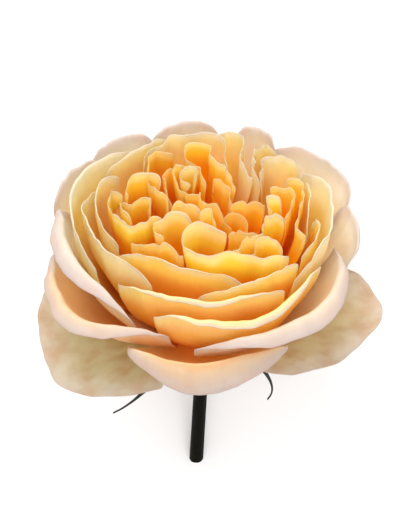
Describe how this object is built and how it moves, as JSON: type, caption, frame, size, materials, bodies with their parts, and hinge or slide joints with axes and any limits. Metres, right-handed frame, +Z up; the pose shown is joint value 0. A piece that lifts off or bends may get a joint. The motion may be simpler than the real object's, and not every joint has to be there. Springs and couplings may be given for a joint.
{
  "type": "garden rose",
  "caption": "Cut garden rose lying on its side: full cupped bloom of layered petals around a quartered golden rosette, reflexed guard petals, green calyx and short stem.",
  "frame": {"origin": "centre of the bounding box on the surface that the rose lies on", "axes": "+Z up from the surface; the stem points to -Y and the bloom faces up and towards +Y; +X is the right of the bloom seen from its stem side above"},
  "size_m": [0.1094, 0.1148, 0.0849],
  "materials": {
    "guard_petal": "soft velvety petal skin, greenish cream with beige and pink edges",
    "outer_petal": "soft velvety petal skin, cream-peach with an apricot base",
    "cup_petal": "soft satin petal skin, apricot-orange with a pale rim",
    "rosette_petal": "soft satin petal skin, golden yellow with a cream rim and an orange base",
    "sepal": "leafy matt green with purple thin tips",
    "stem": "smooth satin dark green to brown bark"
  },
  "bodies": {
    "root": {"outer_petal_left_front": "outer_petal", "outer_petal_right_front": "outer_petal", "outer_petal_front": "outer_petal", "outer_petal_left": "outer_petal", "outer_petal_left_back": "outer_petal", "outer_petal_back_left": "outer_petal", "outer_petal_back": "outer_petal", "outer_petal_back_right": "outer_petal", "outer_petal_right_back": "outer_petal", "outer_petal_right": "outer_petal", "cup_petal_left": "cup_petal", "cup_petal_back_left": "cup_petal", "cup_petal_right": "cup_petal", "cup_petal_front_low": "cup_petal", "cup_petal_front": "cup_petal", "cup_petal_front_right": "cup_petal", "cup_petal_front_left": "cup_petal", "cup_petal_left_inner": "cup_petal", "cup_petal_left_high": "cup_petal", "cup_petal_right_inner": "cup_petal", "cup_petal_right_small": "cup_petal", "rosette_petal_front_curled": "rosette_petal", "rosette_petal_front_frill": "rosette_petal", "rosette_petal_front_right": "rosette_petal", "rosette_petal_centre_right": "rosette_petal", "rosette_petal_left_waved": "rosette_petal", "rosette_petal_left_narrow": "rosette_petal", "rosette_petal_left_hood": "rosette_petal", "rosette_petal_left_small": "rosette_petal", "rosette_petal_front_left": "rosette_petal", "rosette_petal_front_cupped": "rosette_petal", "rosette_petal_centre_left": "rosette_petal", "rosette_petal_centre_tuft": "rosette_petal", "rosette_petal_centre_fold": "rosette_petal", "rosette_petal_bud_wrap": "rosette_petal", "rosette_petal_bud": "rosette_petal", "rosette_petal_bud_left": "rosette_petal", "rosette_petal_back_left": "rosette_petal", "rosette_petal_bud_right": "rosette_petal", "rosette_petal_back": "rosette_petal", "rosette_petal_back_middle": "rosette_petal", "rosette_petal_back_right": "rosette_petal", "rosette_petal_right_back": "rosette_petal", "rosette_petal_right_ruffled": "rosette_petal", "rosette_petal_right": "rosette_petal", "rosette_petal_right_cupped": "rosette_petal", "rosette_petal_right_small": "rosette_petal", "rosette_petal_heart_right": "rosette_petal", "rosette_petal_heart_tongue": "rosette_petal", "rosette_petal_heart_front": "rosette_petal", "guard_petal_left": "guard_petal", "guard_petal_right": "guard_petal", "guard_petal_back_right": "guard_petal", "guard_petal_back_left": "guard_petal", "sepal_left_front": "sepal", "sepal_right_front": "sepal", "sepal_right_back": "sepal", "sepal_back": "sepal", "sepal_left_back": "sepal", "stem": "stem"}
  },
  "joints": []
}
